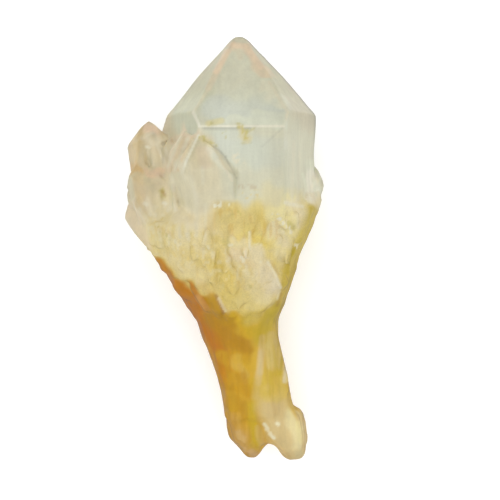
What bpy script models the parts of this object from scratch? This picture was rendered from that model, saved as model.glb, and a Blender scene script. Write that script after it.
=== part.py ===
"""A natural quartz crystal with an iron-stained stem, lying on its back.

It grew as one piece. A large six-sided point stands over a bunch of smaller points. They all draw
in to a collar crusted with small crystals, and below the collar a narrow stem ends in two points of
its own. X runs across the crystal, +Y towards its tip and +Z up from the surface it lies on. The
origin is on that surface, under the middle of the whole crystal.
"""

import math
import random

import bmesh
import bpy
from mathutils import Matrix, Vector

MM = 0.001

# The angle of a quartz end face, from the crystal's axis to the face's normal.
END_FACE_ANGLE = math.radians(51.8)
APOTHEM = math.cos(math.radians(30))
# A smaller crystal is this share as wide at its root as at its shoulder. Its six sides differ in
# distance from the axis, and every second end face is set back by a share of the radius.
ROOT_SHARE = 0.7
SIDE_SPREAD = (0.9, 1.05)
SET_BACK = (0.07, 0.17)

# The large point. Each face is (direction round the axis in degrees, distance of the prism face
# from the axis, height along Y where it meets the leaning end face). The face at -90 degrees is
# the one the crystal lies on, at Z = 0.
POINT_AXIS_X = 3.1
POINT_AXIS_Z = 14.0
POINT_TIP_Y = 46.6
POINT_ROOT_Y = -8.0
POINT_FACES = (
    (90, 14.0, 24.7),
    (30, 14.8, 28.4),
    (-30, 13.5, 28.0),
    (-90, 14.0, 27.6),
    (-150, 14.8, 25.6),
    (150, 13.8, 28.3),
)
# The prism draws in below this height, by this angle. The face it lies on stays flat for longer.
DRAW_IN_Y = 7.5
DRAW_IN_LYING_Y = -3.5
DRAW_IN_ANGLE = math.radians(29)
# The tip is worn: a flat cut across it, and a ring of cuts round that one.
WORN_TIP_Y = 45.0
WORN_RING_ANGLE = math.radians(33)
WORN_RING_Y = 45.52

# The smaller points: name, end of the axis, root, radius across the corners, turn of the six faces
# round the axis in degrees, and how far the apex stands off the axis. Those of the stem point down
# along it and lie half sunk in it, so that it has long flats and edges.
POINTS = (
    ("front", (-3.5, 22.9, 24.8), (-0.6, -9.0, 16.0), 9.3, 3, (-1.6, 0, 3.4)),
    ("front_ridge", (-8.2, 24.3, 23.4), (-4.6, -4.0, 15.0), 4.8, -10, (0.4, 0, 2.6)),
    ("front_crest", (-5.9, 23.7, 24.6), (-2.4, -6.0, 15.0), 3.6, 25, (0, 0, 2.0)),
    ("upper_left", (-15.9, 27.4, 14.6), (-13.4, 0.0, 14.0), 5.9, -8, (-0.2, 0, 0.4)),
    ("middle_left", (-15.9, 18.2, 19.6), (-9.2, -3.0, 18.6), 6.1, 12, (-2.2, 0, 0.8)),
    ("lower_left", (-17.6, 14.2, 16.6), (-6.8, -8.0, 14.5), 4.9, 0, (-1.8, 0, 0.4)),
    ("left_back", (-14.4, 15.6, 7.2), (-7.0, -6.0, 10.5), 5.0, 20, (-0.8, 0, -0.4)),
    ("back", (-3.0, 9.5, 5.4), (1.0, -10.0, 10.0), 4.6, 8, (0.6, 0, 0)),
    ("right_back", (14.4, 12.6, 7.4), (8.0, -8.0, 10.5), 4.8, -6, (0.8, 0, -0.4)),
    ("right", (17.2, 17.8, 13.4), (11.0, -4.0, 13.5), 5.5, 0, (2.4, 0, 0)),
    ("right_front", (14.9, 9.6, 22.4), (8.0, -8.0, 15.0), 3.1, 12, (-0.8, 0, 0.3)),
    ("collar_front", (7.4, 0.8, 24.4), (5.8, -15.0, 15.4), 5.3, 33, (-1.4, 0, 1.6)),
    ("collar_left", (-2.6, -1.4, 24.6), (1.0, -14.0, 14.0), 3.4, 20, (0, 0, 0.3)),
    ("stem_left", (6.0, -40.0, 12.6), (-2.0, -8.0, 14.6), 5.0, 15, (0, 0, 0)),
    ("stem_front", (8.8, -39.0, 13.2), (4.0, -9.0, 17.4), 4.5, 5, (0, 0, 0)),
    ("stem_right", (10.7, -35.0, 12.4), (6.7, -10.0, 14.2), 4.3, 20, (0, 0, 0)),
    ("stem_back", (7.2, -38.5, 10.0), (2.2, -10.0, 9.8), 4.5, 10, (0, 0, 0)),
)

# The two crystals at the foot: as above, and how much of the apex is worn off. They have an end at
# the root as well, and are as wide there as at the shoulder.
FOOT_POINTS = (
    ("left_foot", (5.9, -45.9, 10.4), (3.6, -18.0, 12.6), 5.4, 8, (0.4, 0, 0), 1.2),
    ("right_foot", (13.1, -46.6, 10.6), (11.2, -30.0, 12.0), 5.4, -10, (1.5, 0, 0), 1.8),
)

# The body that draws in from the points to the neck and carries on as the stem: height along Y,
# then left and right in X, then back and front in Z.
BODY_RINGS = (
    (17.0, -12.0, 14.0, 6.0, 23.0),
    (12.4, -18.8, 20.4, 3.2, 25.6),
    (10.2, -20.4, 20.7, 1.9, 27.4),
    (8.0, -21.0, 20.0, 1.6, 28.6),
    (6.6, -21.2, 19.4, 1.6, 28.8),
    (4.8, -19.9, 18.7, 1.7, 28.7),
    (2.0, -18.2, 17.6, 1.9, 28.3),
    (-1.5, -15.3, 15.9, 2.4, 27.3),
    (-4.4, -13.0, 15.3, 3.2, 26.0),
    (-8.3, -10.5, 14.1, 4.3, 23.8),
    (-11.7, -8.4, 13.0, 5.2, 21.7),
    (-15.0, -6.2, 11.5, 5.9, 20.1),
    (-18.5, -4.9, 11.4, 6.3, 19.2),
    (-25.4, -2.3, 13.1, 6.6, 18.0),
    (-31.0, -0.7, 14.3, 6.6, 17.0),
    (-36.5, 2.0, 15.4, 7.8, 15.6),
)
# The body's ridges: direction round it, and how far the ridge hangs lower at the top than the rest.
BODY_RIDGES = (
    (0, 0.0),
    (30, 1.6),
    (58, 0.4),
    (90, 0.0),
    (121, 3.6),
    (150, 4.4),
    (180, 0.0),
    (208, 3.0),
    (240, 1.0),
    (270, 2.6),
    (302, 0.0),
    (333, 1.4),
)
BODY_HANG = (-9.0, 9.0)
# How far in or out a ridge runs, as a share of the half width: along its whole length, and at each
# ring. The outline's own ridges, at 0 and 180 degrees, stay true.
RIDGE_UNEVEN = 0.021
RING_UNEVEN = 0.014
OUTLINE = (0, 180)
# The rings aren't level: each point moves along Y by up to this share of the way to the next ring.
BODY_STAGGER = 0.55

# The crust stands this far off the body, and reaches that over the top third of its height. It runs
# from this height down to a ragged, undercut lip. Each row is a direction round the body, from the
# right (0 degrees) over the front (90) to the left, then the lip's height there, and the height up
# to which small crystals stand on the crust.
CRUST_THICKNESS = 0.9
CRUST_THICKENS_OVER = 1 / 3
CRUST_TOP_Y = 5.5
CRUST_EDGES = (
    (0, 2.5, 10.5),
    (22, -2.0, 10.5),
    (42, -8.5, 10.5),
    (58, -11.5, 10.5),
    (72, -14.2, 10.5),
    (88, -15.0, 9.5),
    (104, -14.4, 2.5),
    (118, -11.4, -1.0),
    (132, -10.4, -2.0),
    (147, -7.6, -2.5),
    (162, -6.6, -1.0),
    (178, -3.6, 4.0),
    (200, -3.0, 8.5),
    (222, -8.6, 10.5),
    (244, -7.4, 10.5),
    (266, -12.0, 10.5),
    (288, -10.8, 10.5),
    (310, -6.0, 10.5),
    (334, -3.4, 10.5),
)
CRUST_STEPS = 5
CRUST_UNEVEN = 0.5
CRUST_SUNK = 0.4
LIP_UNDERCUT = 2.2

# The small crystals of the crust, which stand side by side like the large ones: how many, and the
# least and most of their radius, how far each one's end stands off the body, and how far it leans
# out or aside for each unit along Y. A third of them are on the back.
SMALL_COUNT = 165
SMALL_SEED = 21
SMALL_RADIUS = (0.9, 2.6)
SMALL_LENGTH = 5.0
SMALL_STANDING = (0.3, 1.3)
SMALL_LEAN = (0.5, 1.3)
SMALL_ASIDE = 0.2
SMALL_ABOVE_LIP = 1.2
SMALL_ARCS = ((38, 147), (208, 326))
# None stands where the collar's largest crystal does: directions, then heights.
SMALL_CLEAR = ((45, 78), (-9.0, 0.0))
LOWEST_Z = 0.35

QUARTZ_COLOUR = (0.84, 0.76, 0.52, 1.0)
QUARTZ_ROUGHNESS = 0.15
QUARTZ_IOR = 1.544
QUARTZ_CLEARNESS = 0.9


def cut(bm, point, normal):
    """Takes off what lies outside the plane, and closes the block again with one flat face."""
    everything = bm.verts[:] + bm.edges[:] + bm.faces[:]
    bmesh.ops.bisect_plane(
        bm, geom=everything, dist=1e-7, plane_co=point, plane_no=normal, clear_outer=True
    )
    rim = [edge for edge in bm.edges if edge.is_boundary]
    if rim:
        bmesh.ops.contextual_create(bm, geom=rim)


def new_object(name, bm):
    bmesh.ops.recalc_face_normals(bm, faces=bm.faces[:])
    mesh = bpy.data.meshes.new(name)
    bm.to_mesh(mesh)
    bm.free()
    obj = bpy.data.objects.new(name, mesh)
    bpy.context.scene.collection.objects.link(obj)
    return obj


def direction(degrees):
    """A unit vector square to Y, turned from +X towards +Z."""
    return Vector((math.cos(math.radians(degrees)), 0, math.sin(math.radians(degrees))))


def large_point():
    """Six prism faces that draw in at the root, and six end faces that lean to one worn tip."""
    bm = bmesh.new()
    bmesh.ops.create_cube(bm, size=120 * MM)
    tip = Vector((POINT_AXIS_X, POINT_TIP_Y, POINT_AXIS_Z)) * MM
    root = Vector((POINT_AXIS_X, POINT_ROOT_Y, POINT_AXIS_Z)) * MM
    cut(bm, root, Vector((0, -1, 0)))
    for degrees, distance, edge_y in POINT_FACES:
        out = direction(degrees)
        cut(bm, root + out * distance * MM, out)
        rise = POINT_TIP_Y - edge_y
        cut(bm, tip, out * rise + Vector((0, distance, 0)))
        start_y = DRAW_IN_LYING_Y if degrees == -90 else DRAW_IN_Y
        start = Vector((POINT_AXIS_X, start_y, POINT_AXIS_Z)) + out * distance
        inward = Vector((0, -math.sin(DRAW_IN_ANGLE), 0))
        cut(bm, start * MM, out * math.cos(DRAW_IN_ANGLE) + inward)
    cut(bm, Vector((0, WORN_TIP_Y, 0)) * MM, Vector((0, 1, 0)))
    ring = Vector((POINT_AXIS_X, WORN_RING_Y, POINT_AXIS_Z)) * MM
    for side in range(6):
        lean = Vector((0, math.cos(WORN_RING_ANGLE), 0))
        cut(bm, ring, direction(60 * side) * math.sin(WORN_RING_ANGLE) + lean)
    return new_object("quartz_crystal", bm)


def quartz_point(name, end, root, radius, turn, shift=(0, 0, 0), wear=None, seed=0):
    """A six-sided crystal that widens from its root to its shoulder and ends in a point.

    Every second end face is set back, as the small faces of quartz are. A crystal with a wear has
    that much taken off its apex, and an end at its root as well.
    """
    rng = random.Random(seed)
    end, root = Vector(end) * MM, Vector(root) * MM
    length = (end - root).length
    placing = (end - root).to_track_quat("Z", "Y")
    apex = Vector((0, 0, length)) + placing.inverted() @ (Vector(shift) * MM)
    bm = bmesh.new()
    bmesh.ops.create_cube(bm, size=3 * length)
    cut(bm, Vector((0, 0, 0)), Vector((0, 0, -1)))
    for side in range(6):
        angle = math.radians(90 + 60 * side + turn)
        out = Vector((math.cos(angle), math.sin(angle), 0))
        distance = radius * MM * APOTHEM * rng.uniform(*SIDE_SPREAD)
        flare = distance * (1 - ROOT_SHARE) / length if wear is None else 0.0
        cut(bm, Vector((0, 0, length)) + out * distance, out - Vector((0, 0, flare)))
        lean = out * math.sin(END_FACE_ANGLE) + Vector((0, 0, math.cos(END_FACE_ANGLE)))
        set_back = radius * MM * rng.uniform(*SET_BACK) if side % 2 else 0.0
        cut(bm, apex + lean * set_back, lean)
        if wear is not None:
            cut(bm, Vector((0, 0, 0)), Vector((lean.x, lean.y, -lean.z)))
    if wear is not None:
        cut(bm, apex - Vector((0, 0, wear * MM)), Vector((0, 0, 1)))
    obj = new_object(name, bm)
    obj.matrix_world = Matrix.Translation(root) @ placing.to_matrix().to_4x4()
    return obj


def between(table, at):
    """The row of a table of heights, at a height between two of its rows."""
    for upper, lower in zip(table, table[1:]):
        if at >= lower[0]:
            share = (at - lower[0]) / (upper[0] - lower[0])
            return [low + share * (high - low) for high, low in zip(upper[1:], lower[1:])]
    return list(table[-1][1:])


def on_body(y, degrees, off=0.0):
    """The point on the body's outside at a height and a direction, moved out by a distance."""
    left, right, back, front = between(BODY_RINGS, y)
    out = direction(degrees)
    across = (right + left) / 2 + ((right - left) / 2 + off) * out.x
    up = (front + back) / 2 + ((front - back) / 2 + off) * out.z
    return Vector((across, y, up)) * MM


def skin(name, rings):
    """One closed mesh from rings of points, with the first and last ring closed."""
    bm = bmesh.new()
    rings = [[bm.verts.new(point) for point in ring] for ring in rings]
    sides = len(rings[0])
    for upper, lower in zip(rings, rings[1:]):
        for side in range(sides):
            after = (side + 1) % sides
            bm.faces.new((upper[side], upper[after], lower[after], lower[side]))
    bm.faces.new(rings[0])
    bm.faces.new(rings[-1])
    bmesh.ops.triangulate(bm, faces=bm.faces[:])
    return new_object(name, bm)


def body():
    """The funnel and stem, with ridges that run along it as the edges of crystals do."""
    rng = random.Random(3)
    uneven = [rng.uniform(-1, 1) for _ in BODY_RIDGES]
    rings = []
    below = [row[0] for row in BODY_RINGS[1:]] + [BODY_RINGS[-1][0] - 1]
    for (y, left, right, _back, _front), next_y in zip(BODY_RINGS, below):
        half = (right - left) / 2
        low, high = BODY_HANG
        hung = min(1, max(0, (y - low) / (high - low)))
        ring = []
        for (degrees, hang), ridge in zip(BODY_RIDGES, uneven):
            off, down = 0, 0
            if degrees not in OUTLINE:
                off = half * (RIDGE_UNEVEN * ridge + rng.uniform(-RING_UNEVEN, RING_UNEVEN))
                down = rng.random() * BODY_STAGGER * (y - next_y)
            point = on_body(y, degrees, off)
            point.y -= (down + hang * hung) * MM
            ring.append(point)
        rings.append(ring)
    return skin("body", rings)


def crust():
    """The layer over the collar, down to its ragged, undercut lip. It thins out at the sides."""
    rng = random.Random(8)
    rings = []
    for step in range(CRUST_STEPS + 1):
        share = step / CRUST_STEPS
        thick = CRUST_THICKNESS * min(1, share / CRUST_THICKENS_OVER) - CRUST_SUNK
        ring = []
        for degrees, lip, _top in CRUST_EDGES:
            y = CRUST_TOP_Y + share * (lip - CRUST_TOP_Y)
            side_on = abs(math.cos(math.radians(degrees))) ** 4
            bump = rng.uniform(-CRUST_UNEVEN, CRUST_UNEVEN)
            ring.append(on_body(y, degrees, (thick + bump) * (1 - side_on) - CRUST_SUNK * side_on))
        rings.append(ring)
    rings.append([on_body(lip, degrees, -LIP_UNDERCUT) for degrees, lip, _top in CRUST_EDGES])
    return skin("crust", rings)


def small_points():
    """Seeded small crystals over the crust, side by side and leaning out a little."""
    rng = random.Random(SMALL_SEED)
    made = []
    edges = [(-degrees, lip, top) for degrees, lip, top in CRUST_EDGES]
    clear_arc, clear_heights = SMALL_CLEAR
    while len(made) < SMALL_COUNT:
        degrees = rng.uniform(*SMALL_ARCS[len(made) % 3 == 0])
        lip, top = between(edges, -degrees)
        y = rng.uniform(lip + SMALL_ABOVE_LIP, top)
        radius = SMALL_RADIUS[0] + (SMALL_RADIUS[1] - SMALL_RADIUS[0]) * rng.random() ** 2
        out = direction(degrees)
        aside = [rng.uniform(-SMALL_ASIDE, SMALL_ASIDE) for _ in "xz"]
        axis = Vector((aside[0], 1, aside[1])) + out * rng.uniform(*SMALL_LEAN)
        axis.normalize()
        end = on_body(y, degrees, rng.uniform(*SMALL_STANDING)) / MM
        over_clear = clear_arc[0] < degrees < clear_arc[1]
        if over_clear and clear_heights[0] < y < clear_heights[1] or end.z - radius < LOWEST_Z:
            continue
        root = end - axis * SMALL_LENGTH - out * radius
        name = f"small_{len(made):03d}"
        made.append(quartz_point(name, end, root, radius, rng.uniform(0, 60), seed=len(made)))
    return made


def join(crystal, grown):
    """Fuses everything that grew on the large point into it."""
    growths = bpy.data.collections.new("growths")
    bpy.context.scene.collection.children.link(growths)
    for obj in grown:
        bpy.context.scene.collection.objects.unlink(obj)
        growths.objects.link(obj)
        obj.hide_render = True
        obj.display_type = "WIRE"
    fuse = crystal.modifiers.new("join growths", "BOOLEAN")
    fuse.operation = "UNION"
    fuse.operand_type = "COLLECTION"
    fuse.collection = growths
    fuse.solver = "EXACT"
    graph = bpy.context.evaluated_depsgraph_get()
    joined = bpy.data.meshes.new_from_object(crystal.evaluated_get(graph))
    crystal.modifiers.remove(fuse)
    crystal.data = joined
    for obj in grown:
        bpy.data.objects.remove(obj)
    bpy.data.collections.remove(growths)


def fill_pockets(crystal):
    """Fills the pockets that crystals grown side by side have closed off, so one shell is left."""
    bm = bmesh.new()
    bm.from_mesh(crystal.data)
    bm.verts.ensure_lookup_table()
    shells = []
    waiting = set(bm.verts)
    while waiting:
        shell = set()
        reached = [waiting.pop()]
        while reached:
            vert = reached.pop()
            shell.add(vert)
            near = {edge.other_vert(vert) for edge in vert.link_edges} & waiting
            waiting -= near
            reached.extend(near)
        shells.append(shell)
    shells.sort(key=len)
    inner = [vert for shell in shells[:-1] for vert in shell]
    bmesh.ops.delete(bm, geom=inner, context="VERTS")
    bm.to_mesh(crystal.data)
    bm.free()


def quartz():
    """Clear quartz with a faint warm tint, a little dulled by wear."""
    material = bpy.data.materials.new("quartz")
    material.use_nodes = True
    shader = material.node_tree.nodes["Principled BSDF"]
    shader.inputs["Base Color"].default_value = QUARTZ_COLOUR
    shader.inputs["Roughness"].default_value = QUARTZ_ROUGHNESS
    shader.inputs["Metallic"].default_value = 0.0
    shader.inputs["IOR"].default_value = QUARTZ_IOR
    shader.inputs["Transmission Weight"].default_value = QUARTZ_CLEARNESS
    return material


def clear_scene():
    for obj in list(bpy.data.objects):
        bpy.data.objects.remove(obj)


def build():
    clear_scene()
    crystal = large_point()
    grown = [body(), crust()] + small_points()
    for number, (name, end, root, radius, turn, shift) in enumerate(POINTS):
        grown.append(quartz_point(name, end, root, radius, turn, shift, seed=number))
    for number, (name, end, root, radius, turn, shift, wear) in enumerate(FOOT_POINTS):
        grown.append(quartz_point(name, end, root, radius, turn, shift, wear, 50 + number))
    join(crystal, grown)
    fill_pockets(crystal)
    crystal.data.materials.append(quartz())


build()
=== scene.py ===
# %% [markdown]
# # A clear quartz crystal on an iron-stained stem
#
# The crystal lies on its back on a pale table. It grew as one piece: a large six-sided point, a
# bunch of smaller points beside it, a collar crusted with small crystals, and a narrow stem that
# ends in two worn points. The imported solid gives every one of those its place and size. This lesson
# keeps that shape, grows the finer crystals on it, wears its edges, and gives it its clear, frosted
# and rust-stained quartz.

# %% Load the fixed frame
import math
import random

import bpy
import numpy as np
from mathutils import Matrix, Vector


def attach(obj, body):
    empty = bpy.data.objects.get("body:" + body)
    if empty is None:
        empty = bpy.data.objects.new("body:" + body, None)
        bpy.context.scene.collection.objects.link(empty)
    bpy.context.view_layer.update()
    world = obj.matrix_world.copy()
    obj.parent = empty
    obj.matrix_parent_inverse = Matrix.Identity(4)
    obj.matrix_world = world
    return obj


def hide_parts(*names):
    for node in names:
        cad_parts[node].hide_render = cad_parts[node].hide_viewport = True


MM = 0.001
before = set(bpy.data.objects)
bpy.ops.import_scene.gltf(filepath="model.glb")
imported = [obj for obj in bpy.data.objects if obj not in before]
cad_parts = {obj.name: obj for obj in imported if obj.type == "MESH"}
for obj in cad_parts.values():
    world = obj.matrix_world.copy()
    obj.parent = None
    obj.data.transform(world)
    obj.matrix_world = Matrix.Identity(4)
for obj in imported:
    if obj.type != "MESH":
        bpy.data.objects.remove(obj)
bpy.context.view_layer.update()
CAD_NODE = "quartz_crystal"

# %% [markdown]
# Every operator works on what is selected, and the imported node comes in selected. So one helper
# selects a single object, and a second one adds a modifier and applies it straight away, as the
# Apply button does.

# %% Two helpers for working by hand


def pick(obj):
    """Selects this object and nothing else."""
    bpy.ops.object.select_all(action="DESELECT")
    obj.select_set(True)
    bpy.context.view_layer.objects.active = obj


def apply_modifier(obj, kind, **settings):
    """Adds a modifier, sets it and applies it."""
    pick(obj)
    modifier = obj.modifiers.new(kind.title(), kind)
    for setting, value in settings.items():
        setattr(modifier, setting, value)
    bpy.ops.object.modifier_apply(modifier=modifier.name)


# %% [markdown]
# ## The main shape
#
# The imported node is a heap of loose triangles. A copy of it can be merged into one closed skin and
# worked on, while the node itself stays as it is. Modelling the crystal again from nothing would
# only move it away from the solid that everything else relies on.

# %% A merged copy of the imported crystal
crystal = bpy.data.objects.new("quartz_cluster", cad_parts[CAD_NODE].data.copy())
bpy.context.scene.collection.objects.link(crystal)
crystal.data.materials.clear()
pick(crystal)
bpy.ops.object.mode_set(mode="EDIT")
bpy.ops.mesh.select_all(action="SELECT")
bpy.ops.mesh.remove_doubles(threshold=0.001 * MM)
bpy.ops.object.mode_set(mode="OBJECT")
print("merged copy:", len(crystal.data.vertices), "points")

# %% [markdown]
# ## The finer crystals
#
# Quartz grows as a six-sided prism with six leaning end faces, at any size. One point is therefore
# modelled by hand, once for each proportion that is needed, and then copied. A cylinder with six
# sides is the prism, and the bisect tool cuts the end faces, which on real quartz lean 51.8 degrees
# from the length of the crystal. Every second face is cut a little lower, as they are in nature.

# %% One quartz point, cut with the bisect tool
END_FACE_ANGLE = math.radians(51.8)


def cut_point(name, slimness, low_faces):
    """A point of length 1 standing on the floor, with its radius given by the slimness."""
    bpy.ops.object.select_all(action="DESELECT")
    bpy.ops.mesh.primitive_cylinder_add(
        vertices=6, radius=slimness, depth=1, location=(0, 0, 0.5), end_fill_type="NGON"
    )
    point = bpy.context.object
    point.name = name
    bpy.ops.object.transform_apply(location=True, rotation=False, scale=False)
    bpy.ops.object.mode_set(mode="EDIT")
    for side in range(6):
        around = math.radians(60 * side)
        lean = Vector((math.cos(around), math.sin(around), 0)) * math.sin(END_FACE_ANGLE)
        lean.z = math.cos(END_FACE_ANGLE)
        set_back = low_faces * slimness if side % 2 else 0
        bpy.ops.mesh.select_all(action="SELECT")
        bpy.ops.mesh.bisect(
            plane_co=Vector((0, 0, 1)) - lean * set_back,
            plane_no=lean,
            use_fill=True,
            clear_outer=True,
        )
    bpy.ops.object.mode_set(mode="OBJECT")
    return point


templates = {
    "slender": cut_point("slender_point", slimness=0.14, low_faces=0.20),
    "stout": cut_point("stout_point", slimness=0.30, low_faces=0.12),
    "stubby": cut_point("stubby_point", slimness=0.46, low_faces=0.25),
}
print("templates:", {name: len(obj.data.polygons) for name, obj in templates.items()})

# %% [markdown]
# A copy is laid from its foot to its tip. Its place on the crystal is given from above, as X and Y
# in millimetres, and a ray dropped on the skin finds the height there. So a small crystal always
# sits on what carries it, whichever side it is seen from.

# %% Finding the skin, and laying a copy on it
# Rays start this high above the table, or this far below it.
SKY = 80 * MM


def look_down(x, y, side):
    """Where a ray from the front (side 1) or back (-1) meets the skin, and the way out there."""
    found, place, out, _face = crystal.ray_cast(
        Vector((x * MM, y * MM, side * SKY)), Vector((0, 0, -side))
    )
    return (place, out) if found else (None, None)


def on_skin(x, y, above, side=1):
    """The point this far above the skin."""
    place, _out = look_down(x, y, side)
    return place + Vector((0, 0, side * above * MM))


def lay(template, name, foot, tip, width, turn):
    """A copy of a template from foot to tip, this wide across, with its place in its own mesh."""
    source = templates[template]
    length = (tip - foot).length
    across = max(source.dimensions.x, source.dimensions.y)
    copy = bpy.data.objects.new(name, source.data.copy())
    bpy.context.scene.collection.objects.link(copy)
    size = Matrix.Diagonal((width * MM / across, width * MM / across, length, 1))
    upright = (tip - foot).to_track_quat("Z", "Y").to_matrix().to_4x4()
    turned = Matrix.Rotation(math.radians(turn), 4, "Z")
    copy.data.transform(Matrix.Translation(foot) @ upright @ turned @ size)
    return copy


# %% [markdown]
# The crystals that have a place of their own come first: the small points that break up the faces
# of the left group, thin blades along its edges, the flanks that run down to the collar, and the
# blocks on the right shoulder.

# %% The crystals with a place of their own
# Name, template, foot (X, Y, height above the skin), tip (the same), width and turn, in mm.
OWN_PLACES = (
    ("gap_filler", "stout", (-11.5, 12.4, -3), (-11.2, 24.6, 2.6), 3.6, 20),
    ("left_ridge", "slender", (-11.9, 15.6, -1.6), (-14.6, 25.2, 0.3), 2.2, 5),
    ("left_ridge_2", "slender", (-13.4, 15.2, -1.2), (-16, 25.4, 0.3), 2.6, 25),
    ("left_ridge_3", "slender", (-17.2, 15.4, -1.2), (-17.6, 23.8, 0.1), 2.6, 40),
    ("left_step", "stout", (-14.6, 11, -2.6), (-14.2, 19.4, 0.5), 2.8, 5),
    ("left_low", "stout", (-13.4, 6, -2.5), (-14.6, 14.6, -0.5), 4.6, 25),
    ("left_low_2", "stout", (-16, 5.5, -2.5), (-17.8, 12.6, -0.6), 3.6, 50),
    ("ridge_flank", "slender", (-12, 12, -1.4), (-9.2, 23.2, -0.1), 2.4, 0),
    ("ridge_flank_2", "slender", (-11, 11.4, -1.2), (-8, 23, -0.1), 2, 30),
    ("front_blade", "slender", (-8.6, 13.6, -0.5), (-5.4, 22.6, 0.25), 1, 0),
    ("front_blade_2", "slender", (-10.4, 14, -0.7), (-6.8, 22.8, 0), 1.3, 30),
    ("strip_blade", "slender", (-9.8, 7.6, -0.5), (-10.6, 14.8, 0.1), 1.2, 0),
    ("edge_blade", "slender", (-16.2, 4.8, -0.5), (-19, 9.8, 0.2), 0.9, 15),
    ("flank_1", "slender", (-14.2, -1.2, -1.4), (-14.8, 7, -0.3), 3.2, 10),
    ("flank_2", "slender", (-12, -4.6, -1.2), (-12.4, 6, -0.2), 3, 30),
    ("flank_3", "slender", (-9.4, -5.6, -1.4), (-9.8, 6.8, -0.3), 3.4, 0),
    ("flank_4", "slender", (-6.8, -6.4, -1.2), (-7, 6, -0.2), 2.8, 45),
    ("flank_5", "slender", (-4.6, -6, -1.4), (-4.5, 7.4, -0.4), 3, 20),
    ("flank_6", "slender", (-2.4, -3.6, -1.4), (-2.2, 8.4, -0.4), 2.8, 5),
    ("flank_7", "slender", (0.2, -1.6, -1), (0, 8.6, -0.2), 2, 30),
    ("right_block", "stubby", (14.4, 1.6, -2), (14.6, 9.4, 0.1), 4.2, 10),
    ("right_shoulder", "stout", (16.6, 5, -2.2), (17.6, 12.8, 0), 2.8, 20),
    ("chip", "stubby", (11, 4.2, -1), (11.4, 6.4, 0.3), 1.5, 0),
    ("chip_2", "stubby", (12.6, 2.8, -1), (13.2, 5, 0.3), 1.6, 20),
    ("chip_3", "stubby", (10.4, 1.8, -1), (10.8, 3.8, 0.3), 1.5, 40),
    ("chip_4", "stubby", (13.8, 0.8, -1), (14.3, 2.8, 0.2), 1.4, 10),
    ("chip_5", "stubby", (12.2, 0.4, -1), (12.6, 2.4, 0.3), 1.6, 50),
    ("needle", "slender", (5.3, -0.8, -0.3), (5.3, 3.2, 0.25), 0.6, 0),
    ("pale_lump", "stubby", (6.4, -6.6, -2.4), (7.6, -0.8, 0.1), 5.6, 15),
    ("pale_lump_2", "stubby", (8.4, -10.2, -2.4), (9.4, -3.8, 0), 4.6, 40),
    ("pale_lump_3", "stubby", (4, -10, -2.4), (3.8, -4.6, -0.1), 4.6, 0),
    ("stem_flake", "stout", (12.3, -30.2, -1.4), (12, -24, -0.9), 2.9, 15),
    ("stem_bump", "stout", (1, -36, -1.4), (0.4, -29.6, -1.2), 2.4, 10),
    ("stem_ledge", "slender", (-0.6, -26, -0.9), (-1.4, -20.6, -0.1), 2, 0),
    ("stem_ledge_2", "slender", (1.4, -33.5, -0.9), (1, -27, -0.1), 1.8, 30),
)

grown = []
for name, template, foot, tip, width, turn in OWN_PLACES:
    grown.append(lay(template, name, on_skin(*foot), on_skin(*tip), width, turn))
print("crystals with a place of their own:", len(grown))

# %% [markdown]
# The crust needs several hundred crystals a millimetre or so across, too many to place one by one.
# They are scattered with a seeded random choice between the crust's ragged lip and its upper edge,
# on the front and on the back. High on the crust they lie along the big crystal and only their
# backs show, as ribs. Near the lip they are short and stand out from it. Neither the foot nor the
# tip of one comes near the outline, so the outline stays as smooth as it is.

# %% The crust's edges
# The lip and the upper edge of the crust: X, then Y, in mm.
LIP_LINE = ((-20, -1), (-12.2, -3.3), (-10.1, -5.7), (-7.8, -6.9), (-3.9, -9.2), (-1.2, -9.4))
LIP_LINE += ((0.8, -13), (3.3, -14.3), (7.9, -14.3), (9.5, -12.2), (11, -10.5), (14, -6), (20, 2))
TOP_LINE = ((-20, 4), (-12, 4), (-8, 5), (-4, 6.5), (0, 8.5), (6, 9.5), (12, 9.5), (20, 11))


def line_at(line, x):
    """The height of a line of (X, Y) points at this X."""
    return np.interp(x, [point[0] for point in line], [point[1] for point in line])


# %% The crystals scattered between them
# Counting those with a place of their own.
ALL_CRYSTALS = 640
SCATTER_SEED = 12
BACK_SHARE = 0.35
HALF_WIDTH = 19
ABOVE_LIP = 0.4
ABOVE_TABLE = 1.2
RIB_ZONE = 9.0
OUTLINE_MARGIN = 1.5
# The ranges of the length, the width and the height above the skin, in mm.
RIB_SIZES = ((1.8, 3.8), (0.6, 1.3), (-0.5, -0.2))
STUB_SIZES = ((1.2, 2.0), (0.8, 1.7), (-0.45, 0.0))
SWAY = 0.2
RIB_LIFT = 0.35
STUB_LEAN = 0.7
UP = Vector((0, 1, 0))
rng = random.Random(SCATTER_SEED)


def inside_outline(point, side):
    """Whether the skin goes on for the margin to the left and to the right of this point."""
    for margin in (-OUTLINE_MARGIN, OUTLINE_MARGIN):
        beside, _out = look_down(point.x / MM + margin, point.y / MM, side)
        if beside is None:
            return False
    return True


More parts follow.
